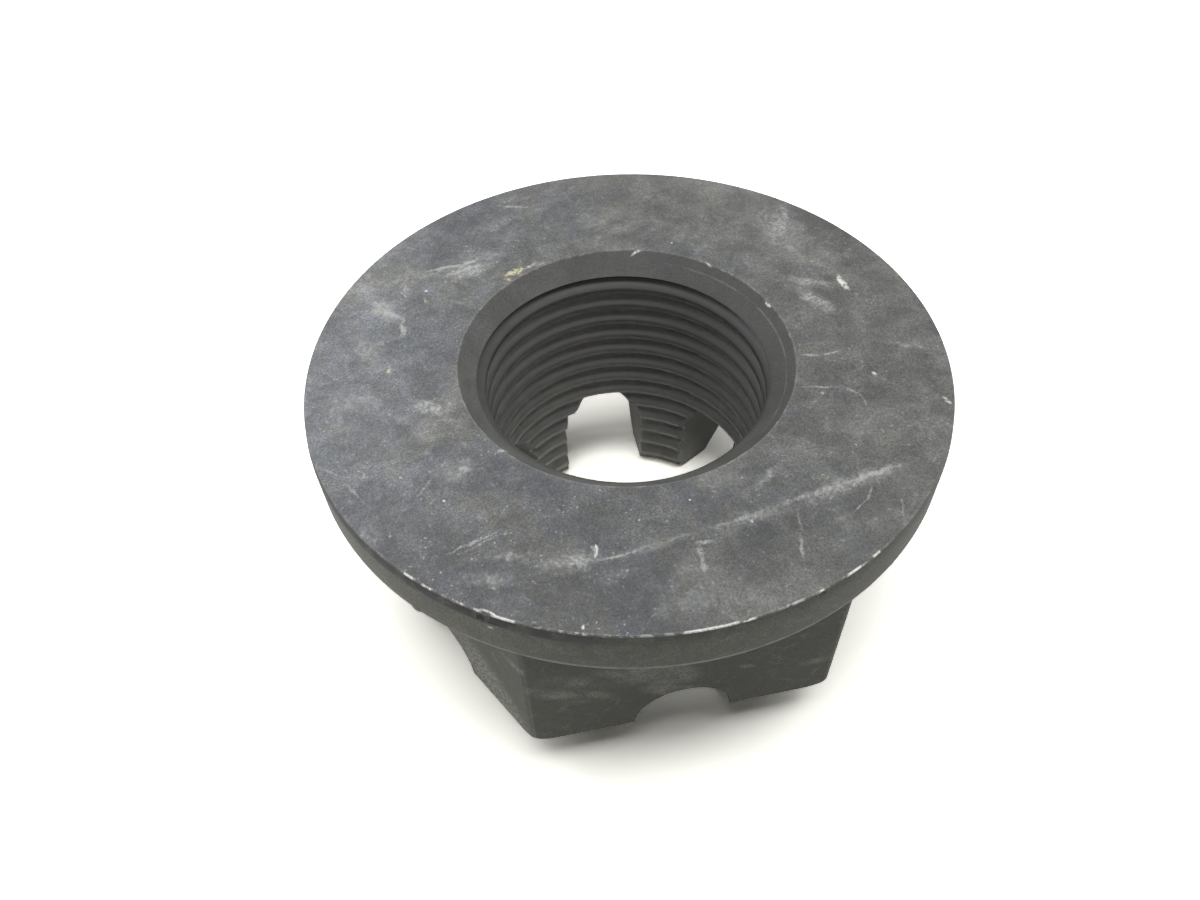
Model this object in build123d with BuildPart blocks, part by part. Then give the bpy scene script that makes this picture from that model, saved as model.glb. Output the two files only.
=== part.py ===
"""Castellated flange nut, forged and machined in one piece.

The nut stands on the end of its castellated crown, with the flange's bearing face up.
Origin: centre of the crown's end. +Z: along the thread, towards the bearing face.
Lengths are in millimetres, angles in degrees, levels are measured up from the crown's end.
"""

import os
from math import cos, radians, sqrt, tan

from build123d import *

# Bore: cut to the minor diameter of an M27 x 2 thread
thread_diameter = 27.0
thread_pitch = 2.0
lead_in_diameter = 29.15  # mouth of the 90 degree countersink in the bearing face
end_chamfer = 1.0  # at the crown's end of the bore

# Flange
nut_height = 29.2
flange_diameter = 55.3
rim_thickness = 4.6
turned_band = 0.9  # height of the machined band at the top of the forged rim
band_depth = 0.15  # how far that band leans in at the bearing face
rim_round = 0.6
back_slope = 18.0  # angle at which the flange's back rises from the flats to the rim

# Hexagon
across_flats = 46.0
hexagon_reach = 22.2  # from the bearing face down to the flats' lower edge
corner_round = 0.8
foot_round = 1.5  # at the corners' lower ends
root_fillet = 0.5  # between the flange's back and the flats

# Crown
crown_slope = 52.0  # angle of its conical side, from the horizontal
crown_end_diameter = 34.0
crown_round = 0.5

# Slots
slot_count = 6
slot_width = 8.6
slot_reach = 17.85  # from the bearing face down to the top of the slots' round roofs

# Radii
bore_radius = (thread_diameter - 5 / 8 * sqrt(3) * thread_pitch) / 2
lead_in_radius = lead_in_diameter / 2
flange_radius = flange_diameter / 2
flat_radius = across_flats / 2
corner_radius = flat_radius / cos(radians(30))
crown_end_radius = crown_end_diameter / 2

# Levels
rim_level = nut_height - rim_thickness
back_level = rim_level - (flange_radius - flat_radius) * tan(radians(back_slope))
hexagon_level = nut_height - hexagon_reach
slot_spring_level = nut_height - slot_reach - slot_width / 2

crown_top_radius = crown_end_radius + hexagon_level / tan(radians(crown_slope))

os.makedirs("parts", exist_ok=True)

# One slot: a channel with a round roof, open at the crown's end
with BuildPart() as slot_cutter:
    with BuildSketch(Plane.XZ):
        with Locations((0, slot_spring_level)):
            Circle(slot_width / 2)
        Rectangle(slot_width, slot_spring_level, align=(Align.CENTER, Align.MIN))
    extrude(amount=flange_diameter)

with BuildPart() as flange_nut:
    # Hexagonal body, with its corners rounded along their length and at their lower ends
    with BuildSketch(Plane.XY.offset(hexagon_level)):
        RegularPolygon(flat_radius, 6, major_radius=False)
    extrude(amount=hexagon_reach)
    fillet(flange_nut.edges().filter_by(Axis.Z), corner_round)
    with BuildSketch(Plane.XZ) as foot_section:
        with Locations((0, hexagon_level)):
            Rectangle(corner_radius, hexagon_reach, align=(Align.MIN, Align.MIN))
        foot_corner = foot_section.vertices().sort_by_distance((corner_radius, hexagon_level))[0]
        fillet(foot_corner, foot_round)
    revolve(mode=Mode.INTERSECT)

    # Flange, with a turned band over a forged rim, and a sloping back that runs into the flats
    with BuildSketch(Plane.XZ) as flange_section:
        with BuildLine():
            Polyline(
                (0, nut_height),
                (flange_radius - band_depth, nut_height),
                (flange_radius, nut_height - turned_band),
                (flange_radius, rim_level),
                (flat_radius, back_level),
                (0, back_level),
                close=True,
            )
        make_face()
        rim_corner = flange_section.vertices().sort_by_distance((flange_radius, rim_level))[0]
        fillet(rim_corner, rim_round)
    revolve()
    new_edges = flange_nut.edges(Select.LAST)
    fillet(new_edges.filter_by(GeomType.HYPERBOLA) + new_edges.filter_by(GeomType.BSPLINE), root_fillet)

    # Crown: a cone below the hexagon
    with BuildSketch(Plane.XZ) as crown_section:
        with BuildLine():
            Polyline(
                (0, 0),
                (crown_end_radius, 0),
                (crown_top_radius, hexagon_level),
                (0, hexagon_level),
                close=True,
            )
        make_face()
        crown_corner = crown_section.vertices().sort_by_distance((crown_end_radius, 0))[0]
        fillet(crown_corner, crown_round)
    revolve()

    # Bore, countersunk at the bearing face and chamfered at the crown's end
    with Locations((0, 0, nut_height)):
        CounterSinkHole(bore_radius, lead_in_radius, counter_sink_angle=90)
    end_edges = flange_nut.edges().filter_by(GeomType.CIRCLE).group_by(Axis.Z)[0]
    chamfer(end_edges.sort_by(SortBy.RADIUS)[0], end_chamfer)

    # Slots, one through the middle of each flat
    with PolarLocations(0, slot_count):
        add(slot_cutter.part, mode=Mode.SUBTRACT)

flange_nut.part.label = "flange_nut"
export_step(flange_nut.part, "parts/flange_nut.step")
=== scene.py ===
from math import atan2, cos, hypot, pi, radians, sin, tan

import bmesh
import bpy
from mathutils import Matrix, Vector


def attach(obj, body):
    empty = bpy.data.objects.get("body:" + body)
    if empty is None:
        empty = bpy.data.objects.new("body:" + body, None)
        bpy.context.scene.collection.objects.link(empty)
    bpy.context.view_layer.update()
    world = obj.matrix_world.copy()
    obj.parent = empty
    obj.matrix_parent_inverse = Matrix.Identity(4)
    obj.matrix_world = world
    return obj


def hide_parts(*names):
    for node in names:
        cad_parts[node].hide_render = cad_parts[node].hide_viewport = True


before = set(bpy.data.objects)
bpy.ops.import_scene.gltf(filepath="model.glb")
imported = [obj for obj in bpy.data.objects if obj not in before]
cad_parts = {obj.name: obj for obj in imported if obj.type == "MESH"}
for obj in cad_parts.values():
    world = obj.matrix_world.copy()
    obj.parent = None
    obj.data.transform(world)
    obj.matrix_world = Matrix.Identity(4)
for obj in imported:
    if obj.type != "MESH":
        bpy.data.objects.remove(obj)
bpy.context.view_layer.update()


# Camera: a hand-held shot from in front of the nut and above it, near enough that the flange
# looks much wider than the crown under it. Its place was worked out from the nut's own circles.
MM = 0.001  # a millimetre, in the scene's metres
scene = bpy.context.scene
camera_data = bpy.data.cameras.new("camera")
camera_data.sensor_width = 36
camera_data.lens = 28.538
camera_data.clip_start = 0.005
camera_data.clip_end = 20
camera = bpy.data.objects.new("camera", camera_data)
scene.collection.objects.link(camera)
heading, tilt, roll = radians(-9.626), radians(40.686), radians(-2.268)
camera.location = Vector((-12.533, -58.568, 86.299)) * MM
turn = Matrix.Rotation(heading, 3, "Z") @ Matrix.Rotation(tilt, 3, "X")
camera.rotation_euler = (turn @ Matrix.Rotation(roll, 3, "Z")).to_euler()
scene.camera = camera


# Floor: a sheet of plain white paper under the nut. It shows as white to the camera, out to its
# edges, and in reflections, and keeps the nut's shadow. Near the nut the paper is tinted a little
# warm, a painted warm cast for that shadow. Under the bore it lights the thread as brightly as it
# looks.
def deselect():
    if bpy.context.object and bpy.context.object.mode != "OBJECT":
        bpy.ops.object.mode_set(mode="OBJECT")
    bpy.ops.object.select_all(action="DESELECT")


def wire(kind, inputs=None, **settings):
    """Adds a node to the material at hand. inputs gives each socket a value or the output that
    feeds it."""
    node = nodes.new(kind)
    for name, value in settings.items():
        setattr(node, name, value)
    for socket, value in (inputs or {}).items():
        if isinstance(value, bpy.types.NodeSocket):
            links.new(value, node.inputs[socket])
        else:
            node.inputs[socket].default_value = value
    return node


deselect()
bpy.ops.mesh.primitive_plane_add(size=1.6, location=(0, 0, 0))
floor = bpy.context.object
floor.name = "floor"
paper = bpy.data.materials.new("white_paper")
paper.use_nodes = True
nodes, links = paper.node_tree.nodes, paper.node_tree.links
nodes.clear()


def seen_directly():
    """1 for camera rays and for reflections, 0 for the light that surfaces give each other."""
    path = wire("ShaderNodeLightPath").outputs
    seen = path["Is Camera Ray"]
    for kind in ("Is Glossy Ray", "Is Transmission Ray"):
        seen = wire("ShaderNodeMath", {0: seen, 1: path[kind]}, operation="MAXIMUM").outputs[0]
    return seen


paper_tone, seen_extra = 0.7, 0.3
near_edge, far_edge = 0.25, 0.8
camera_near, camera_far = 0.85, 6.0
bore_paper_tone = 2.3
shadow_warmth = (1, 0.987, 0.925, 1)
white = wire(
    "ShaderNodeMath", {0: seen_directly(), 1: seen_extra, 2: paper_tone}, operation="MULTIPLY_ADD"
)
camera_ray = wire("ShaderNodeLightPath").outputs["Is Camera Ray"]
place = wire("ShaderNodeTexCoord").outputs["Object"]
distance = wire("ShaderNodeVectorMath", {0: place, 1: (0, 0.003, 0)}, operation="DISTANCE")
distance = distance.outputs["Value"]
far_off = wire(
    "ShaderNodeMapRange",
    {
        "Value": distance,
        "From Min": near_edge,
        "From Max": far_edge,
        "To Min": camera_near,
        "To Max": camera_far,
    },
)
bright = wire(
    "ShaderNodeMath",
    {0: camera_ray, 1: far_off.outputs[0], 2: white.outputs[0]},
    operation="MULTIPLY_ADD",
)
under_bore = wire(
    "ShaderNodeMapRange",
    {"Value": distance, "From Min": 0.0165, "From Max": 0.0145, "To Max": bore_paper_tone},
    interpolation_type="SMOOTHSTEP",
)
bright = wire(
    "ShaderNodeMath", {0: bright.outputs[0], 1: under_bore.outputs[0]}, operation="MAXIMUM"
)
# Painted warm cast: the paper is tinted a little warm near the nut, where its shadow falls.
near_nut = wire(
    "ShaderNodeMapRange",
    {"Value": distance, "From Min": 0.055, "From Max": 0.035},
    interpolation_type="SMOOTHSTEP",
)
warmth = wire(
    "ShaderNodeMix", {0: near_nut.outputs[0], 6: (1, 1, 1, 1), 7: shadow_warmth}, data_type="RGBA"
)
paper_colour = wire(
    "ShaderNodeVectorMath", {0: warmth.outputs[2], "Scale": bright.outputs[0]}, operation="SCALE"
)
matt = wire("ShaderNodeBsdfDiffuse", {"Color": paper_colour.outputs[0]})
wire("ShaderNodeOutputMaterial", {"Surface": matt.outputs[0]})
floor.data.materials.append(paper)


# Light: a white room with a soft box just in front of the nut and nearly above it, a broad pale
# ceiling behind that, and a weak window at the back on the left, which gives the face its sheen.
world = bpy.data.worlds.new("white_room")
scene.world = world
world.use_nodes = True
nodes, links = world.node_tree.nodes, world.node_tree.links
nodes.clear()
level = wire("ShaderNodeMapRange", {"Value": seen_directly(), "To Min": 0.08, "To Max": 1.0})
air = wire("ShaderNodeBackground", {"Color": (1, 1, 1, 1), "Strength": level.outputs[0]})
wire("ShaderNodeOutputWorld", {"Surface": air.outputs[0]})


def light(name, place, aim, width, depth, power):
    """Hangs a rectangular lamp at a place and turns it to its aim. Metres and watts."""
    lamp = bpy.data.lights.new(name, "AREA")
    lamp.shape = "RECTANGLE"
    lamp.size = width
    lamp.size_y = depth
    lamp.energy = power
    holder = bpy.data.objects.new(name, lamp)
    holder.location = place
    holder.rotation_euler = (Vector(aim) - Vector(place)).to_track_quat("-Z", "Y").to_euler()
    scene.collection.objects.link(holder)


light("soft_box", (0.0, -0.135, 0.60), (0.0, 0.0, 0.0), 0.36, 0.14, 1.45)
light("ceiling", (0.0, 0.14, 0.60), (0.0, 0.14, 0.0), 1.40, 0.54, 3.85)
light("window", (-0.30, 0.34, 0.42), (0.0, 0.0, 0.02), 0.30, 0.30, 0.6)


# Flange nut, forged blank: one piece of steel, hot forged as a hexagon under a round flange,
# with its face and the top of its rim turned in a lathe afterwards.
nut_height = 29.2
across_flats = 46.0
flat_radius = across_flats / 2
corner_radius = flat_radius / cos(radians(30))
corner_round = 0.8
hexagon_level = 7.0  # lower edge of the flats
foot_round = 1.5  # at the corners' lower ends
flange_radius = 27.65
face_radius = 27.5  # where the turned band meets the bearing face
turned_band = 0.9
face_edge_round = 0.14
rim_level = 24.6  # lower edge of the forged rim
rim_round = 0.6
back_slope = radians(18)  # of the flange's back, from the flats up to the rim
back_level = rim_level - (flange_radius - flat_radius) * tan(back_slope)
crown_end_radius = 17.0
crown_slope = radians(52)  # of the crown's cone
crown_round = 0.5
buried = 3.0  # how far the flange's back runs on inside the hexagon
core_radius, core_level = 20.0, 9.0  # of the crown's upper end, inside the hexagon


def turned(name, outline, rounds, steps):
    """A solid of revolution. outline runs from the axis, round the section and back to the axis.
    rounds gives the radius at each of its corners that is rounded, as {corner: (radius, cuts)}."""
    deselect()
    bpy.ops.mesh.primitive_plane_add(size=1)
    solid = bpy.context.object
    solid.name = name
    bpy.ops.object.mode_set(mode="EDIT")
    bpy.ops.mesh.merge(type="CENTER")
    bpy.ops.transform.translate(value=(outline[0][0], 0, outline[0][1]))
    for (r0, z0), (r1, z1) in zip(outline, outline[1:]):
        bpy.ops.mesh.extrude_vertices_move(
            TRANSFORM_OT_translate={"value": (r1 - r0, 0, z1 - z0)}
        )
    for corner, (radius, cuts) in rounds.items():
        r, z = outline[corner]
        before = Vector((outline[corner - 1][0] - r, 0, outline[corner - 1][1] - z))
        after = Vector((outline[corner + 1][0] - r, 0, outline[corner + 1][1] - z))
        bpy.ops.mesh.select_all(action="DESELECT")
        section = bmesh.from_edit_mesh(solid.data)
        for vertex in section.verts:
            if (vertex.co - Vector((r, 0, z))).length < 0.001:
                vertex.select = True
        section.select_flush(True)
        bmesh.update_edit_mesh(solid.data)
        reach = radius / tan(before.angle(after) / 2)
        offset = reach * sin(before.angle(after) / 2)
        bpy.ops.mesh.bevel(
            offset_type="OFFSET", offset=offset, segments=cuts, affect="VERTICES"
        )
    bpy.ops.mesh.select_all(action="SELECT")
    bpy.ops.mesh.spin(steps=steps, angle=2 * pi, center=(0, 0, 0), axis=(0, 0, 1))
    bpy.ops.mesh.select_all(action="SELECT")
    bpy.ops.mesh.remove_doubles(threshold=0.0005)
    bpy.ops.mesh.normals_make_consistent(inside=False)
    bpy.ops.object.mode_set(mode="OBJECT")
    return solid


def combine(body, tool, operation):
    """Joins, cuts or keeps what is common, and takes the tool away."""
    deselect()
    body.select_set(True)
    bpy.context.view_layer.objects.active = body
    step = body.modifiers.new(operation.lower(), "BOOLEAN")
    step.operation = operation
    step.object = tool
    step.solver = "MANIFOLD"
    bpy.ops.object.modifier_apply(modifier=step.name)
    bpy.data.objects.remove(tool)


deselect()
bpy.ops.mesh.primitive_cylinder_add(
    vertices=6, radius=corner_radius, depth=20, location=(0, 0, 16), rotation=(0, 0, radians(30))
)
nut = bpy.context.object
nut.name = "nut"
bpy.ops.object.transform_apply(location=True, rotation=True, scale=True)
bpy.ops.object.mode_set(mode="EDIT")
bpy.ops.mesh.select_all(action="DESELECT")
body = bmesh.from_edit_mesh(nut.data)
for edge in body.edges:
    if abs(edge.verts[0].co.z - edge.verts[1].co.z) > 1:
        edge.select = True
bmesh.update_edit_mesh(nut.data)
bpy.ops.mesh.bevel(offset_type="OFFSET", offset=corner_round * tan(radians(30)), segments=6)
bpy.ops.object.mode_set(mode="OBJECT")

foot_outline = ((0, 25), (corner_radius, 25), (corner_radius, hexagon_level), (0, hexagon_level))
combine(nut, turned("foot", foot_outline, {2: (foot_round, 6)}, 144), "INTERSECT")

flange_outline = (
    (0, nut_height),
    (face_radius, nut_height),
    (flange_radius, nut_height - turned_band),
    (flange_radius, rim_level),
    (flat_radius - buried, back_level - buried * tan(back_slope)),
    (0, back_level - buried * tan(back_slope)),
)
flange_rounds = {3: (rim_round, 5), 1: (face_edge_round, 3)}
combine(nut, turned("flange", flange_outline, flange_rounds, 720), "UNION")

cone_top = hexagon_level + 0.2
crown_outline = (
    (0, core_level),
    (core_radius, core_level),
    (crown_end_radius + cone_top / tan(crown_slope), cone_top),
    (crown_end_radius, 0),
    (0, 0),
)
combine(nut, turned("crown", crown_outline, {3: (crown_round, 4)}, 144), "UNION")

drill_radius = 12.0
drill_outline = ((0, 32), (drill_radius, 32), (drill_radius, -2), (0, -2))
combine(nut, turned("drill", drill_outline, {}, 144), "DIFFERENCE")

# Slots: six, milled across the crown through the middle of each flat, with a round end mill, for
# a split pin. Each cut runs right through from flat to flat.
slot_width = 8.6
slot_spring = 7.05  # level at which the round roof springs from the sides
slot_length = 70.0
slot_foot = -5.0  # below the crown's end
deselect()
bpy.ops.mesh.primitive_cylinder_add(
    vertices=64,
    radius=slot_width / 2,
    depth=slot_length,
    location=(0, 0, slot_spring),
    rotation=(pi / 2, 0, 0),
)
slot = bpy.context.object
bpy.ops.object.transform_apply(location=True, rotation=True, scale=True)
bpy.ops.object.mode_set(mode="EDIT")
bpy.ops.mesh.select_all(action="DESELECT")
body = bmesh.from_edit_mesh(slot.data)
for vertex in body.verts:
    if vertex.co.z < slot_spring - 0.001:
        vertex.co.z = slot_foot
        vertex.co.x = slot_width / 2 * (1 if vertex.co.x > 0 else -1)
bmesh.update_edit_mesh(slot.data)
bpy.ops.mesh.select_all(action="SELECT")
bpy.ops.mesh.remove_doubles(threshold=0.0005)
bpy.ops.mesh.normals_make_consistent(inside=False)
bpy.ops.object.mode_set(mode="OBJECT")
for turn in (0, 60, 120):
    cutter = slot.copy()
    cutter.data = slot.data.copy()
    scene.collection.objects.link(cutter)
    cutter.data.transform(Matrix.Rotation(radians(turn), 4, "Z"))
    combine(nut, cutter, "DIFFERENCE")
bpy.data.objects.remove(slot)

# Edges: every sharp edge of the blank is broken a little all round, by tumbling after the slots
# are cut.
deselect()
nut.select_set(True)
bpy.context.view_layer.objects.active = nut
soft = nut.modifiers.new("broken_edges", "BEVEL")
soft.width = 0.2
soft.segments = 2
soft.limit_method = "ANGLE"
soft.angle_limit = radians(30)
soft.use_clamp_overlap = True
bpy.ops.object.modifier_apply(modifier=soft.name)

# Bore: drilled, countersunk in the bearing face and chamfered at the crown's end, then tapped with
# a fine thread. The slots are cut before the thread, so its turns break off at them.
minor_radius = 12.4175
mouth_radius = 14.575
end_chamfer = 1.0
pitch = 2.0
thread_depth = 0.9
half_crest, flank, root_flat = 0.25, 0.625, 0.25  # their lengths along the axis
thread_round = 0.11
thread_start = -6.5  # below the crown's end
turns = 21
past_end = 2.5  # how far the tap sticks out at both ends
deselect()
bpy.ops.mesh.primitive_plane_add(size=1)
tap = bpy.context.object
tap.name = "tap"
bpy.ops.object.mode_set(mode="EDIT")
bpy.ops.mesh.merge(type="CENTER")
bpy.ops.transform.translate(value=(minor_radius, 0, thread_start))
thread_form = (
    (0, half_crest),
    (thread_depth, flank),
    (0, root_flat),
    (-thread_depth, flank),
    (0, half_crest),
)
for dr, dz in thread_form:
    bpy.ops.mesh.extrude_vertices_move(TRANSFORM_OT_translate={"value": (dr, 0, dz)})
bpy.ops.mesh.select_all(action="DESELECT")
section = bmesh.from_edit_mesh(tap.data)
for vertex in section.verts:
    if 0.1 < vertex.co.z - thread_start < pitch - 0.1:
        vertex.select = True
section.select_flush(True)
bmesh.update_edit_mesh(tap.data)
bpy.ops.mesh.bevel(offset_type="OFFSET", offset=thread_round, segments=2, affect="VERTICES")
bpy.ops.object.mode_set(mode="OBJECT")
helix = tap.modifiers.new("helix", "SCREW")
helix.axis = "Z"
helix.screw_offset = pitch
helix.iterations = turns
helix.steps = 120
helix.render_steps = 120
helix.use_merge_vertices = True
helix.merge_threshold = 0.0005
bpy.ops.object.modifier_apply(modifier=helix.name)
bpy.ops.object.mode_set(mode="EDIT")
bpy.ops.mesh.select_all(action="SELECT")
bpy.ops.mesh.remove_doubles(threshold=0.002)
for level, below in ((-past_end, True), (nut_height + past_end, False)):
    bpy.ops.mesh.select_all(action="SELECT")
    bpy.ops.mesh.bisect(
        plane_co=(0, 0, level),
        plane_no=(0, 0, 1),
        use_fill=True,
        clear_inner=below,
        clear_outer=not below,
    )
bpy.ops.mesh.select_all(action="SELECT")
bpy.ops.mesh.normals_make_consistent(inside=False)
bpy.ops.object.mode_set(mode="OBJECT")

over, sink = 2.0, 5.5  # the countersink's cutter above the face, and its whole height
countersink_outline = (
    (0, nut_height + over),
    (mouth_radius + over, nut_height + over),
    (mouth_radius + over - sink, nut_height + over - sink),
    (0, nut_height + over - sink),
)
combine(nut, turned("countersink", countersink_outline, {}, 360), "DIFFERENCE")
chamfer_top, chamfer_foot = 2.5, -2.0
chamfer_outline = (
    (0, chamfer_top),
    (minor_radius + end_chamfer - chamfer_top, chamfer_top),
    (minor_radius + end_chamfer - chamfer_foot, chamfer_foot),
    (0, chamfer_foot),
)
combine(nut, turned("end_chamfer", chamfer_outline, {}, 180), "DIFFERENCE")
combine(nut, tap, "DIFFERENCE")


# Knocks: a nick in the flange's edge with a dent under it, smaller ones beside them, and a gouge in
# the bearing face. Each is pressed into the metal as a shallow oval hollow.
def knock(angle, radius, level, along, inward, down):
    """Presses a hollow: its place as an angle, a radius and a level, then its half sizes."""
    deselect()
    bpy.ops.mesh.primitive_ico_sphere_add(
        subdivisions=3,
        radius=1,
        location=(radius * cos(radians(angle)), radius * sin(radians(angle)), level),
        rotation=(0, 0, radians(angle)),
        scale=(inward, along, down),
    )
    hollow = bpy.context.object
    bpy.ops.object.transform_apply(location=True, rotation=True, scale=True)
    combine(nut, hollow, "DIFFERENCE")


for knocked in (
    (-124.0, 27.90, 28.50, 0.42, 0.55, 0.62),
    (-123.1, 27.80, 29.25, 1.00, 0.56, 0.34),
    (-121.8, 27.95, 28.40, 0.80, 0.40, 0.40),
    (-133.3, 27.75, 29.25, 0.60, 0.42, 0.30),
    (-115.4, 27.75, 29.25, 0.50, 0.40, 0.26),
    (-84.4, 27.75, 29.25, 0.90, 0.38, 0.24),
    (-72.4, 27.85, 28.85, 0.55, 0.42, 0.40),
    (-64.0, 27.75, 29.25, 0.80, 0.40, 0.28),
    (12.9, 22.15, 29.25, 1.10, 0.48, 0.22),
):
    knock(*knocked)

# Burr: a small lump that the forging left at the rim's lower edge, on the left. It is part of
# the same steel, and was never dressed off.
burr_angle, burr_radius, burr_level = radians(-137.0), 27.33, 24.85
deselect()
bpy.ops.mesh.primitive_ico_sphere_add(
    subdivisions=3,
    radius=1,
    location=(burr_radius * cos(burr_angle), burr_radius * sin(burr_angle), burr_level),
    rotation=(0, 0, burr_angle),
    scale=(0.42, 0.75, 0.32),
)
burr = bpy.context.object
bpy.ops.object.transform_apply(location=True, rotation=True, scale=True)
combine(nut, burr, "UNION")

# Finished shape: brought to metres, with its smooth faces shaded smooth
deselect()
nut.select_set(True)
bpy.context.view_layer.objects.active = nut
bpy.ops.transform.resize(value=(MM, MM, MM), center_override=(0, 0, 0))
bpy.ops.object.transform_apply(location=True, rotation=True, scale=True)
bpy.ops.object.shade_smooth_by_angle(angle=radians(28))


# Finish: black phosphate, still dark and matt in the bore, on the flats and round the rim. The
# bearing face is scuffed grey from use, and its edges are rubbed down to bright metal. Light and
# shade are painted in places too: highlights on the edges, a sheen on the face, paler grooves in
# the thread and a lift of the shade in the slots.
steel = bpy.data.materials.new("black_phosphate_steel")
steel.use_nodes = True
nodes, links = steel.node_tree.nodes, steel.node_tree.links
nodes.clear()


def calc(operation, a, b=0.0):
    return wire("ShaderNodeMath", {0: a, 1: b}, operation=operation).outputs[0]


def both(*values):
    """The product of two or more amounts."""
    product = values[0]
    for value in values[1:]:
        product = calc("MULTIPLY", product, value)
    return product


def scaled(colour, amount):
    return wire("ShaderNodeVectorMath", {0: colour, "Scale": amount}, operation="SCALE").outputs[0]


def fade(value, start, end, low=0.0, high=1.0):
    """Rises smoothly from low, where value is start, to high, where it is end."""
    return wire(
        "ShaderNodeMapRange",
        {"Value": value, "From Min": start, "From Max": end, "To Min": low, "To Max": high},
        interpolation_type="SMOOTHSTEP",
    ).outputs[0]


def cloud(point, size, detail=4.0, roughness=0.55, swirl=0.0):
    """A noise with patches of the given size in millimetres."""
    return wire(
        "ShaderNodeTexNoise",
        {
            "Vector": point,
            "Scale": 1 / size,
            "Detail": detail,
            "Roughness": roughness,
            "Distortion": swirl,
        },
    ).outputs[0]


def paint(under, colour, amount):
    """Lays a colour over another where amount is 1."""
    return wire("ShaderNodeMix", {0: amount, 6: under, 7: colour}, data_type="RGBA").outputs[2]


coordinates = wire("ShaderNodeTexCoord")
point = scaled(coordinates.outputs["Object"], 1000.0)  # in millimetres
axes = wire("ShaderNodeSeparateXYZ", {0: point}).outputs
x, y, height = axes[0], axes[1], axes[2]
across = wire("ShaderNodeCombineXYZ", {0: x, 1: y}).outputs[0]
radius = wire("ShaderNodeVectorMath", {0: across}, operation="LENGTH").outputs["Value"]
outward = wire("ShaderNodeVectorMath", {0: across}, operation="NORMALIZE").outputs[0]
turned_in = wire(
    "ShaderNodeVectorMath", {0: coordinates.outputs["Normal"], 1: outward}, operation="DOT_PRODUCT"
).outputs["Value"]

# Where each zone of the finish lies
slot_roof = slot_spring + slot_width / 2
outside = fade(radius, mouth_radius - 0.125, mouth_radius + 0.025)
bearing_face = both(fade(height, nut_height - 0.18, nut_height - 0.04), outside)
bore_zone = calc("SUBTRACT", 1.0, outside)
# Slot walls, painted a paler grey that lifts the shade in the slots.
milled = both(
    fade(calc("ABSOLUTE", turned_in), 0.42, 0.37), fade(height, slot_roof + 0.45, slot_roof + 0.05)
)

# Noises that the zones share
grain = cloud(point, 0.15, 2.0, 0.8)
crumbs = cloud(point, 0.28, 1.0)
mottle = cloud(point, 2.6, 6.0, 0.66, 0.4)
drift = cloud(point, 9.0, 3.0, 0.5, 0.8)
rubbed = cloud(point, 1.6, 5.0, 0.65, 1.2)
patches = cloud(point, 1.6, 4.0, 0.6)
wander = wire(
    "ShaderNodeTexNoise", {"Vector": point, "Scale": 0.9, "Detail": 4.0, "Roughness": 0.65}
).outputs["Color"]
wander = wire("ShaderNodeVectorMath", {0: wander, 1: (0.5, 0.5, 0.5)}, operation="SUBTRACT")
wander = wander.outputs[0]
astray = wire("ShaderNodeSeparateXYZ", {0: wander}).outputs


def strokes(place, rows):
    """Lays soft strokes on a plane, each given as x and y of its start and its end, its half width
    and its strength. The path holds the place as x and y, and in z the strongest stroke so far."""
    path = wire("ShaderNodeVectorMath", {0: place, 1: (1, 1, 0)}, operation="MULTIPLY").outputs[0]
    for x0, y0, x1, y1, width, strength in rows:
        within = wire(
            "ShaderNodeMapping",
            {
                "Vector": path,
                "Location": ((x0 + x1) / 2, (y0 + y1) / 2, 0),
                "Rotation": (0, 0, atan2(y1 - y0, x1 - x0)),
                "Scale": (0.6 * hypot(x1 - x0, y1 - y0) + width, width, 1e6),
            },
            vector_type="TEXTURE",
        ).outputs[0]
        soft = wire("ShaderNodeTexGradient", {0: within}, gradient_type="SPHERICAL").outputs[1]
        mark = wire(
            "ShaderNodeVectorMath",
            {0: soft, 1: (0, 0, strength), 2: (-1000, -1000, 0)},
            operation="MULTIPLY_ADD",
        ).outputs[0]
        path = wire("ShaderNodeVectorMath", {0: path, 1: mark}, operation="MAXIMUM").outputs[0]
    strongest = wire("ShaderNodeSeparateXYZ", {0: path}).outputs[2]
    return fade(strongest, 0.0, 0.6)


def strayed(distance):
    """The point moved about a little, so that a stroke's edge isn't straight."""
    shift = scaled(wander, distance)
    return wire("ShaderNodeVectorMath", {0: point, 1: shift}, operation="ADD").outputs[0]


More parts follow.
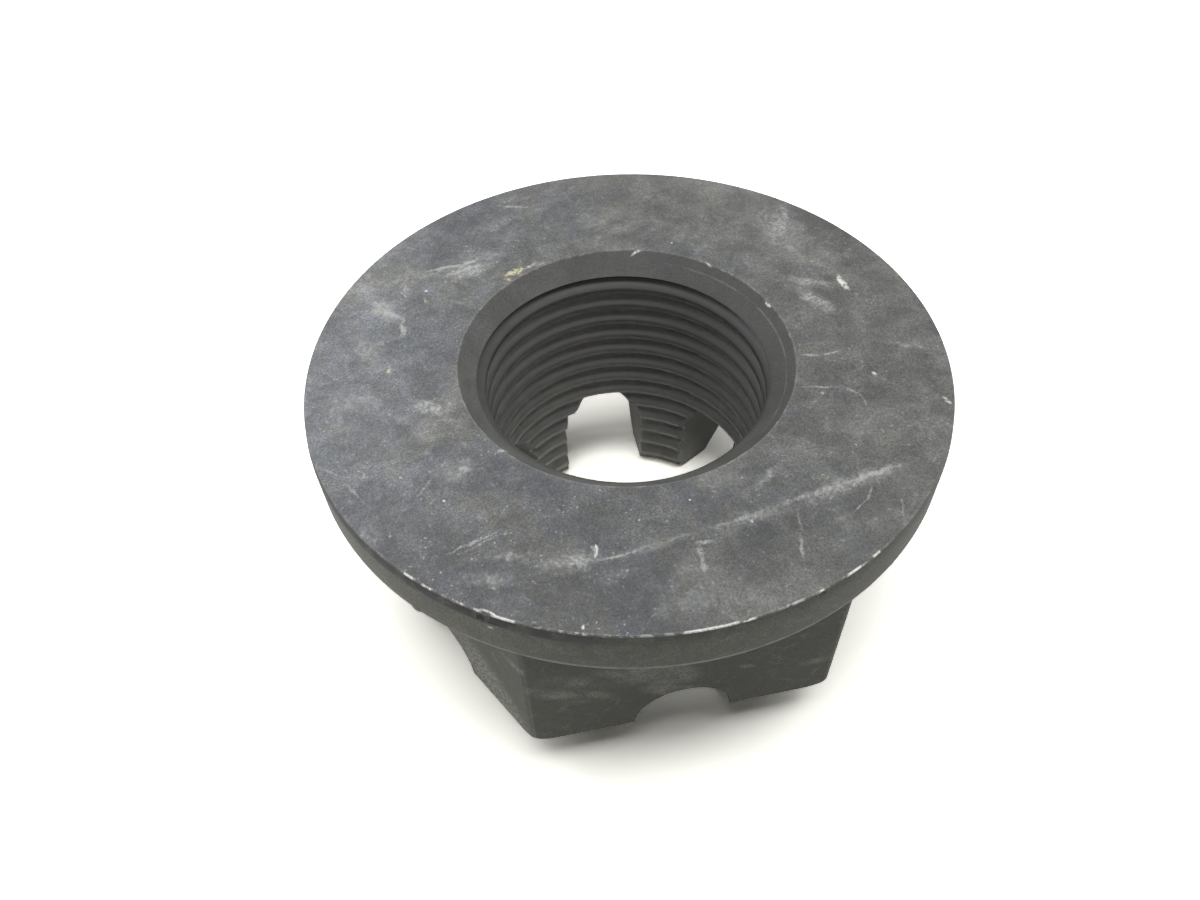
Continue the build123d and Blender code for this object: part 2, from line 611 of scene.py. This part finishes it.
# Thin scratches, as strokes() takes them
scratches = (
    (-16.5, 15.4, -10.9, 15.8, 0.27, 0.98),
    (-13.7, 14.4, -11.1, 15.2, 0.22, 0.91),
    (-21.1, 12.0, -19.9, 10.0, 0.35, 1.04),
    (-20.0, 10.2, -18.6, 8.9, 0.30, 0.91),
    (-18.6, 8.9, -19.1, 6.7, 0.18, 0.78),
    (-18.0, 14.8, -18.7, 13.2, 0.18, 0.59),
    (-18.7, 13.2, -18.0, 11.6, 0.18, 0.59),
    (-8.1, 24.3, -5.2, 23.4, 0.20, 1.04),
    (-6.7, -19.2, -6.4, -19.6, 0.19, 1.30),
    (-6.4, -19.6, -6.7, -20.1, 0.19, 1.30),
    (-12.2, -8.5, -11.6, -8.5, 0.16, 1.30),
    (-17.2, -17.6, -12.9, -16.2, 0.16, 0.85),
    (-16.1, -17.7, -12.7, -16.4, 0.14, 0.65),
    (-6.4, -20.5, -2.9, -20.0, 0.18, 0.91),
    (-2.9, -20.0, 1.3, -19.5, 0.22, 0.39),
    (1.3, -19.5, 7.1, -18.6, 0.27, 0.45),
    (7.7, -18.5, 12.9, -17.5, 0.34, 0.78),
    (12.9, -17.5, 18.4, -16.7, 0.30, 0.91),
    (0.7, -20.4, 1.9, -20.6, 0.27, 1.04),
    (0.8, -20.6, 0.8, -21.8, 0.34, 0.65),
    (0.8, -21.8, 0.8, -23.1, 0.30, 0.65),
    (9.0, -19.0, 8.4, -21.4, 0.19, 0.59),
    (8.4, -21.4, 7.9, -23.4, 0.22, 0.65),
    (12.8, -20.4, 14.2, -19.4, 0.12, 0.78),
    (14.2, -19.4, 15.1, -18.3, 0.12, 0.78),
    (16.9, -19.8, 16.3, -21.3, 0.12, 0.65),
    (-26.2, -7.2, -24.7, -8.4, 0.20, 0.65),
    (-24.7, -8.4, -21.9, -9.1, 0.18, 0.52),
    (-24.4, -8.9, -22.9, -11.7, 0.19, 0.52),
    (-18.9, -11.9, -17.7, -10.3, 0.15, 0.78),
    (14.6, -3.3, 16.4, -3.8, 0.20, 0.72),
    (16.4, -3.8, 18.4, -3.5, 0.20, 0.65),
    (13.1, -7.0, 16.8, -7.8, 0.16, 0.65),
    (16.8, -7.8, 17.8, -8.9, 0.16, 0.59),
    (17.8, -8.9, 18.0, -10.5, 0.16, 0.52),
    (-18.0, -12.7, -17.4, -12.1, 0.14, 0.65),
    (-21.2, -0.7, -19.4, 1.3, 0.14, 0.45),
    (-25.5, -12.5, -23.8, -11.0, 0.14, 0.39),
)

# Broad rubbed smears
smears = (
    (-16.6, 14.7, -8.8, 16.4, 0.90, 0.58),
    (-13.7, 14.1, -10.8, 14.8, 1.20, 1.00),
    (-14.6, 16.5, -8.3, 16.9, 0.96, 0.32),
    (-21.0, 11.8, -19.7, 9.6, 1.08, 0.79),
    (-18.8, 8.7, -18.8, 6.8, 0.42, 0.63),
    (-17.9, 14.1, -18.1, 12.0, 0.48, 0.53),
    (-6.5, 13.7, -4.8, 14.2, 0.60, 0.42),
    (-22.8, 7.4, -20.8, 2.6, 1.92, 0.37),
    (-25.7, -0.3, -20.8, -1.1, 1.68, 0.29),
    (-25.4, -2.7, -21.0, -4.8, 1.92, 0.27),
    (-17.9, -2.0, -16.3, -3.1, 0.96, 0.89),
    (-20.1, -3.2, -19.3, -3.4, 0.72, 0.53),
    (19.9, 18.1, 19.7, 14.4, 0.84, 0.42),
    (19.7, 14.4, 19.2, 10.1, 0.84, 0.42),
    (18.4, 17.3, 18.6, 10.6, 3.12, 0.42),
    (19.2, 10.1, 21.5, 6.0, 0.84, 0.30),
    (17.1, 6.6, 20.4, 4.8, 1.08, 0.51),
    (17.6, 4.3, 19.0, 1.9, 1.20, 0.64),
    (22.9, -3.6, 25.0, -4.6, 0.72, 0.42),
    (-3.6, -24.4, 2.4, -24.9, 2.64, 0.24),
    (-1.2, -23.3, 1.0, -25.8, 1.80, 0.21),
    (-16.6, -9.9, -14.0, -9.9, 1.32, 0.47),
    (-14.7, -18.2, -11.5, -18.9, 0.72, 0.42),
    (-16.7, -19.9, -12.5, -20.8, 0.84, 0.42),
    (2.6, -14.8, 6.1, -15.1, 1.44, 0.26),
    (15.2, -12.4, 20.1, -11.8, 3.00, 0.21),
    (-10.3, -20.1, -6.1, -20.4, 1.08, 0.51),
    (-14.4, 19.2, -7.7, 21.4, 1.80, 0.19),
    (-2.4, 19.6, 7.3, 21.7, 2.40, 0.17),
    (12.9, 11.9, 16.1, 6.6, 1.80, 0.17),
    (-24.5, -16.4, -21.8, -13.4, 1.92, 0.26),
    (-6.1, -20.4, 1.3, -19.6, 0.96, 0.30),
    (1.3, -19.6, 9.3, -18.5, 1.08, 0.34),
    (9.3, -18.5, 18.4, -16.7, 1.08, 0.55),
    (6.6, -16.4, 8.6, -14.9, 0.60, 0.51),
    (1.2, 17.1, 5.4, 18.3, 1.44, 0.26),
    (-8.6, 18.6, -6.3, 20.6, 1.20, 0.26),
    (-6.7, -22.1, -3.7, -21.4, 1.44, 0.21),
    (12.1, -19.4, 11.7, -22.6, 1.44, 0.26),
)

# Patches where the face is darker: partly black that is less worn, and the broad ones a painted
# shade where the face's sheen is weaker
less_worn_and_shaded_patches = (
    (22.1, 16.0, 24.2, 10.0, 3.00, 0.80),
    (21.1, 8.7, 20.1, 2.7, 0.60, 0.55),
    (15.2, -5.5, 17.9, -6.1, 2.00, 0.40),
    (-20.3, -13.7, -16.5, -20.4, 6.00, 0.40),
    (-21.4, -13.4, -20.5, -17.3, 5.00, 0.40),
    (-9.6, -21.9, -1.6, -24.9, 8.00, 0.45),
    (-21.6, -16.6, -17.3, -21.5, 9.00, 0.50),
    (20.9, -7.9, 17.4, -17.1, 7.00, 0.40),
    (0.6, -21.9, 10.2, -20.4, 8.00, 0.45),
    (2.1, 22.0, 13.9, 19.2, 6.00, 0.40),
    (26.6, -2.9, 22.6, -12.9, 3.00, 0.30),
    (19.5, -5.1, 19.0, -7.7, 0.90, 0.60),
    (24.9, -4.5, 25.3, -6.2, 1.00, 0.60),
    (22.8, 8.8, 23.7, 6.6, 1.00, 0.50),
    (1.8, 20.4, 5.3, 17.8, 2.00, 0.40),
    (-8.4, -14.9, -2.6, -16.6, 2.50, 0.40),
    (-5.0, -27.3, -1.1, -28.2, 1.00, 0.20),
)

# Bright specks, as very short strokes
specks = (
    (-16.3, 12.5, -16.3, 12.5, 0.20, 0.90),
    (-20.4, 2.5, -20.4, 2.5, 0.16, 0.80),
    (14.9, -8.1, 14.9, -8.1, 0.20, 0.90),
    (5.3, -19.3, 5.3, -19.4, 0.15, 1.00),
    (-16.9, -12.6, -16.9, -12.6, 0.14, 0.80),
    (3.5, 13.8, 4.4, 13.9, 0.14, 1.00),
    (13.9, 4.0, 14.1, 3.3, 0.16, 1.00),
    (-8.6, -25.5, -8.6, -25.6, 0.16, 1.10),
    (19.8, -6.7, 20.0, -7.0, 0.22, 0.60),
    (24.4, -10.8, 24.6, -11.4, 0.24, 0.80),
    (-12.2, -8.6, -11.6, -8.5, 0.16, 1.00),
    (-6.4, -19.1, -6.4, -19.6, 0.11, 1.00),
    (-6.4, -19.6, -6.7, -20.1, 0.10, 1.00),
    (1.3, -16.5, 1.3, -16.5, 0.12, 0.80),
    (5.8, -15.3, 5.8, -15.3, 0.14, 0.90),
    (15.5, -14.0, 15.5, -14.0, 0.14, 0.70),
    (-6.0, -0.8, -6.0, -0.8, 0.12, 0.60),
    (7.7, 14.3, 7.7, 14.3, 0.14, 0.60),
    (10.0, 10.7, 10.5, 10.0, 0.12, 0.60),
    (-2.8, -17.5, -2.8, -17.5, 0.12, 0.60),
    (5.8, 10.9, 6.5, 10.4, 0.20, 0.70),
    (6.8, 10.4, 7.5, 9.3, 0.20, 0.90),
    (1.2, 9.6, 1.4, 9.4, 0.14, 0.60),
    (0.3, 7.5, 0.9, 7.6, 0.14, 0.50),
)

# Grains of yellowish dirt, most of them at the mouth, as very short strokes
grime_specks = (
    (-8.2, 13.2, -7.7, 13.2, 0.55, 1.30),
    (-7.8, 13.5, -7.3, 13.6, 0.42, 1.30),
    (-7.2, 13.8, -6.9, 13.8, 0.25, 0.90),
    (-6.7, 13.6, -5.9, 14.0, 0.22, 0.70),
    (-20.3, 3.0, -20.2, 2.2, 0.30, 0.50),
    (-8.9, 12.6, -8.5, 12.2, 0.30, 0.60),
    (-16.6, 11.5, -16.4, 10.8, 0.25, 0.40),
)

# Stretches of the flange's edge that are rubbed bright and painted brighter still, as a highlight:
# two angles and a strength
worn_and_highlight_arcs = (
    (-137.7, -136.2, 1.1),
    (-133.9, -132.9, 1.1),
    (-130.4, -125.8, 0.5),
    (-124.8, -118.1, 1.25),
    (-115.8, -95.0, 0.5),
    (-95.0, -86.0, 1.3),
    (-86.0, -83.5, 0.65),
    (-79.8, -74.2, 0.4),
    (-72.9, -72.0, 0.7),
    (-67.8, -64.4, 0.9),
    (-62.0, -60.5, 0.8),
)

# Rubbed places on the flat in front, as x and height
front_flat = (
    (-3.8, 16.0, -0.4, 14.1, 2.40, 1.15),
    (-3.1, 12.9, 1.2, 10.4, 1.30, 1.10),
    (-7.2, 17.4, -3.9, 14.3, 1.50, 0.60),
    (-3.2, 14.1, -2.2, 13.3, 1.00, 0.40),
    (-12.9, 16.3, -9.4, 14.1, 1.20, 0.80),
    (-8.4, 14.4, -6.6, 12.9, 1.00, 0.70),
    (-12.0, 17.7, -5.6, 14.7, 1.60, 0.50),
    (-10.7, 13.4, -7.3, 12.5, 0.80, 0.30),
    (4.7, 13.7, 5.9, 13.2, 0.50, 0.60),
    (10.4, 11.9, 13.0, 11.8, 0.90, 0.50),
)

# The same on the flat to its left
left_flat = (
    (4.8, 11.8, 11.0, 5.7, 5.00, 0.85),
    (7.9, 12.9, 9.0, 8.5, 1.20, 0.80),
    (10.8, 19.1, 13.5, 19.5, 0.90, 0.50),
    (10.9, 11.4, 11.6, 5.5, 0.80, 0.50),
    (6.2, 12.8, 6.5, 10.2, 0.60, 0.50),
    (9.0, 17.1, 9.5, 16.1, 0.40, 0.60),
)

# The gouge in the bearing face, a painted highlight on a small lump under the nick, and the nick's
# own edge, rubbed bright and painted as a highlight
gouge_strokes = ((21.5, 5.9, 21.7, 4.1, 0.42, 0.9),)
lump_glint_strokes = ((-14.92, -23.30, -14.85, -23.36, 0.26, 0.5),)
nick_strokes = (
    (-15.66, -22.70, -15.18, -22.69, 0.10, 0.7),
    (-15.18, -22.69, -14.72, -22.98, 0.10, 0.9),
    (-14.72, -22.98, -14.34, -23.40, 0.10, 1.1),
)

# Bearing face
cool_grey = (0.0995, 0.1045, 0.1115, 1)
warm_grey = (0.1065, 0.1085, 0.1030, 1)
smear_grey = (0.42, 0.424, 0.41, 1)
scratch_grey = (0.44, 0.44, 0.42, 1)
fleck_grey = (0.40, 0.40, 0.385, 1)
smear = both(
    strokes(strayed(1.8), smears),
    fade(rubbed, 0.36, 0.60, 0.35, 1.0),
    fade(crumbs, 0.36, 0.60, 0.35, 1.0),
)
scratch = both(
    strokes(strayed(0.7), scratches),
    fade(grain, 0.30, 0.62, 0.15, 1.0),
    fade(rubbed, 0.36, 0.56, 0.30, 1.0),
)
# Painted shade, partly: the broad patches darken the face where its sheen is weaker.
dull_and_shaded = strokes(strayed(5.0), less_worn_and_shaded_patches)
speck = both(
    strokes(strayed(0.4), specks),
    fade(height, 26.2, 26.5),
    fade(crumbs, 0.36, 0.54, 0.25, 1.0),
)
grime = both(strokes(strayed(1.2), grime_specks), fade(crumbs, 0.40, 0.58, 0.15, 1.0))
fleck = both(
    fade(crumbs, 0.65, 0.78), fade(mottle, 0.40, 0.62, 0.15, 0.8), fade(x, 6, -14, 0.65, 1.25)
)
# Painted sheen, partly wear: the face gets lighter towards the left and the far left, and darker
# towards the near left.
to_far_left = calc("SUBTRACT", y, x)
to_near_left = calc("ADD", x, y)
tone = both(
    fade(mottle, 0.28, 0.76, 0.66, 1.42),
    fade(grain, 0.30, 0.70, 0.62, 1.38),
    fade(rubbed, 0.48, 0.78, 0.95, 1.45),
    fade(dull_and_shaded, 0.0, 1.0, 1.0, 0.66),
    fade(drift, 0.30, 0.70, 0.88, 1.16),
    fade(to_far_left, -30, 34, 1.0, 1.17),
    fade(x, -12, -23, 1.0, 1.46),
    fade(to_near_left, -20, -34, 1.0, 0.86),
)
# The x term makes the face cooler on the left: a painted bluish sheen.
warm = calc("ADD", drift, calc("MULTIPLY", x, 0.008))
warm = fade(calc("ADD", warm, calc("MULTIPLY", astray[0], 0.5)), 0.30, 0.54)
face_colour = scaled(paint(cool_grey, warm_grey, warm), tone)
face_colour = paint(face_colour, smear_grey, smear)
face_colour = paint(face_colour, scratch_grey, calc("MULTIPLY", scratch, 0.8))
face_colour = paint(face_colour, fleck_grey, fleck)

# Rim, flats and crown. The turned band under the bearing face stays nearly black on the left.
phosphate = (0.0415, 0.042, 0.0325)
rubbed_grey = (0.30, 0.302, 0.27, 1)
speckled_grey = (0.36, 0.362, 0.33, 1)
band_black = (0.014, 0.014, 0.017, 1)
skin_tone = both(
    fade(mottle, 0.28, 0.76, 0.58, 1.52),
    fade(grain, 0.30, 0.70, 0.50, 1.50),
    fade(radius, 26.6, 27.3, 1.0, 1.75),
    fade(calc("SUBTRACT", x, radius), -36.0, -46.0, 1.0, 1.5),
)
on_front = wire("ShaderNodeCombineXYZ", {0: x, 1: height}).outputs[0]
front_marks = both(
    strokes(on_front, front_flat),
    fade(y, 0.4 - flat_radius, 0.1 - flat_radius),
    fade(crumbs, 0.30, 0.65, 0.45, 0.80),
    fade(mottle, 0.36, 0.60, 0.35, 1.0),
)
left_turned = wire(
    "ShaderNodeVectorRotate", {"Vector": point, "Angle": radians(60)}, rotation_type="Z_AXIS"
)
left_axes = wire("ShaderNodeSeparateXYZ", {0: left_turned.outputs[0]}).outputs
on_left = wire("ShaderNodeCombineXYZ", {0: left_axes[0], 1: height}).outputs[0]
left_marks = both(
    strokes(on_left, left_flat),
    fade(left_axes[1], 0.4 - flat_radius, 0.1 - flat_radius),
    fade(crumbs, 0.44, 0.60, 0.15, 0.85),
)
patchy = calc("MAXIMUM", calc("MULTIPLY", fade(rubbed, 0.52, 0.76), 0.30), front_marks)
band = both(
    fade(height, 27.95, 28.30),
    fade(height, 29.10, 28.95),
    fade(patches, 0.36, 0.52, 0.45, 1.0),
    outside,
    fade(x, -4.0, -12.0, 0.25, 1.0),
)
skin = scaled(phosphate, skin_tone)
skin = paint(skin, rubbed_grey, both(patchy, fade(grain, 0.30, 0.60, 0.30, 1.0)))
skin = paint(skin, speckled_grey, left_marks)
skin = paint(skin, band_black, calc("MULTIPLY", band, 0.92))

# Bore and countersink. The thread's grooves are painted paler than its crests: painted light that
# lifts the shade deep in them. The thread and the countersink are painted lighter on the left than
# on the right, as the light falls, and the crests get lighter lower down the bore.
groove_painted_light = 0.38
in_groove = both(
    fade(radius, 12.5, 13.3), fade(height, 27.0, 26.0), fade(turned_in, -0.25, -0.42)
)
crest = both(fade(height, 27.0, 25.0, 0.048, 0.074), fade(height, 25.0, 6.0, 1.0, 1.5))
# Painted light: paler grooves, and lighter on the left than on the right.
thread_tone = both(
    wire("ShaderNodeMix", {0: in_groove, 2: crest, 3: groove_painted_light}).outputs[0],
    fade(x, -11.0, 11.0, 1.33, 0.70),
    fade(mottle, 0.25, 0.80, 0.85, 1.20),
)
# Painted light: the countersink is lighter on the left and darker on the right.
sink_tone = both(
    fade(x, -14.0, 14.0, 0.108, 0.067),
    fade(mottle, 0.25, 0.80, 0.80, 1.25),
    fade(grain, 0.30, 0.70, 0.75, 1.25),
)
bore_tone = wire("ShaderNodeMix", {0: fade(height, 27.0, 27.5), 2: thread_tone, 3: sink_tone})
bore_colour = scaled((1.0, 1.0, 0.96), bore_tone.outputs[0])


# Worn edges: rings where the black is rubbed through, in places to bright metal. The brightest
# stretches of the flange's edge and the nick's edge are painted whiter than bare steel as a
# highlight, and a pale line along the rim's lower edge is a painted highlight.
def ring(at_radius, at_height, width):
    """1 on a ring round the nut's axis, and nothing from its half width on."""
    off_radius = calc("SUBTRACT", radius, at_radius)
    off_height = calc("SUBTRACT", height, at_height)
    away = wire("ShaderNodeCombineXYZ", {0: off_radius, 1: off_height}).outputs[0]
    away = wire("ShaderNodeVectorMath", {0: away}, operation="LENGTH").outputs["Value"]
    return fade(away, width * 0.35, width, 1.0, 0.0)


chips = fade(cloud(point, 0.5, 3.0, 0.6), 0.44, 0.58, 0.05, 1.0)
broken = both(fade(patches, 0.42, 0.60, 0.2, 1.0), chips)
worn = both(ring(27.48, 29.14, 0.15), fade(broken, 0.0, 1.0, 0.15, 0.75))
# Painted highlight: a pale line along the rounded lower edge of the rim.
lower = both(ring(27.60, 24.85, 0.36), fade(patches, 0.30, 0.60, 0.25, 0.9))
mouth = both(ring(mouth_radius, nut_height, 0.16), fade(broken, 0.0, 1.0, 0.15, 0.75))
chatter = both(
    ring(13.85, 28.475, 0.13), fade(x, 5.0, 11.0), fade(patches, 0.36, 0.60, 0.05, 0.35)
)
arc_radius = 27.46
arc_strokes = []
for start, end, strength in worn_and_highlight_arcs:
    x0, y0 = arc_radius * cos(radians(start)), arc_radius * sin(radians(start))
    x1, y1 = arc_radius * cos(radians(end)), arc_radius * sin(radians(end))
    arc_strokes.append((x0, y0, x1, y1, max(0.4, 0.045 * (end - start)), strength))
# Painted highlight over the wear: the flange's edge and the nick's edge, whiter than bare steel.
on_arc = strokes(strayed(0.8), arc_strokes)
unbroken = fade(on_arc, 0.75, 1.0, 0.0, 0.85)
bright = both(on_arc, ring(27.49, 29.14, 0.15), calc("MAXIMUM", chips, unbroken))
nick_edge = both(strokes(strayed(0.15), nick_strokes), fade(height, 29.00, 29.15))
bright = both(calc("MAXIMUM", bright, nick_edge), fade(grain, 0.30, 0.52, 0.5, 1.0))
gouge = both(
    strokes(strayed(0.4), gouge_strokes),
    fade(height, 28.80, 28.95),
    fade(crumbs, 0.36, 0.50, 0.3, 1.0),
)
# Painted highlight: a small glint on the rim under the nick.
lump_glint = both(
    strokes(strayed(0.3), lump_glint_strokes), fade(height, 27.45, 27.60), fade(height, 27.90, 27.75)
)

# The zones laid over one another, and the shader
milled_shade_lift_grey = (0.105, 0.105, 0.10, 1)
lower_edge_highlight_grey = (0.25, 0.252, 0.235, 1)
worn_grey = (0.26, 0.26, 0.24, 1)
bare_steel_and_glint = (0.70, 0.70, 0.67, 1)
steel_and_highlight_white = (1.0, 1.0, 0.94, 1)
yellow_dirt = (0.56, 0.52, 0.33, 1)
colour = paint(skin, face_colour, bearing_face)
colour = paint(colour, bore_colour, bore_zone)
# Painted light: the slot walls lifted to a paler grey.
colour = paint(colour, milled_shade_lift_grey, milled)
colour = paint(colour, lower_edge_highlight_grey, lower)
colour = paint(colour, worn_grey, calc("MAXIMUM", calc("MAXIMUM", worn, mouth), chatter))
# Bare steel in the specks and the gouge, and a painted glint under the nick.
colour = paint(colour, bare_steel_and_glint, calc("MAXIMUM", calc("MAXIMUM", speck, gouge), lump_glint))
# Painted highlight: the bright edges, whiter than bare steel.
colour = paint(colour, steel_and_highlight_white, bright)
colour = paint(colour, yellow_dirt, grime)
cast = paint((0.98, 1.0, 1.025, 1), (1.02, 1.0, 0.975, 1), fade(astray[1], -0.12, 0.12))
colour = wire("ShaderNodeVectorMath", {0: colour, 1: cast}, operation="MULTIPLY").outputs[0]
relief = calc("ADD", calc("MULTIPLY", grain, 0.6), mottle)
surface = wire("ShaderNodeBump", {"Strength": 0.35, "Distance": 0.00006, "Height": relief})
shader = wire(
    "ShaderNodeBsdfPrincipled",
    {
        "Base Color": colour,
        "Roughness": fade(mottle, 0.3, 0.8, 0.46, 0.60),
        "Normal": surface.outputs[0],
        "IOR": 1.5,
        "Specular IOR Level": 0.35,
    },
)
wire("ShaderNodeOutputMaterial", {"Surface": shader.outputs[0]})

nut.data.materials.clear()
nut.data.materials.append(steel)
for face in nut.data.polygons:
    face.material_index = 0

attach(nut, "root")
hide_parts("flange_nut")

# Plain colours
scene.view_settings.view_transform = "Standard"
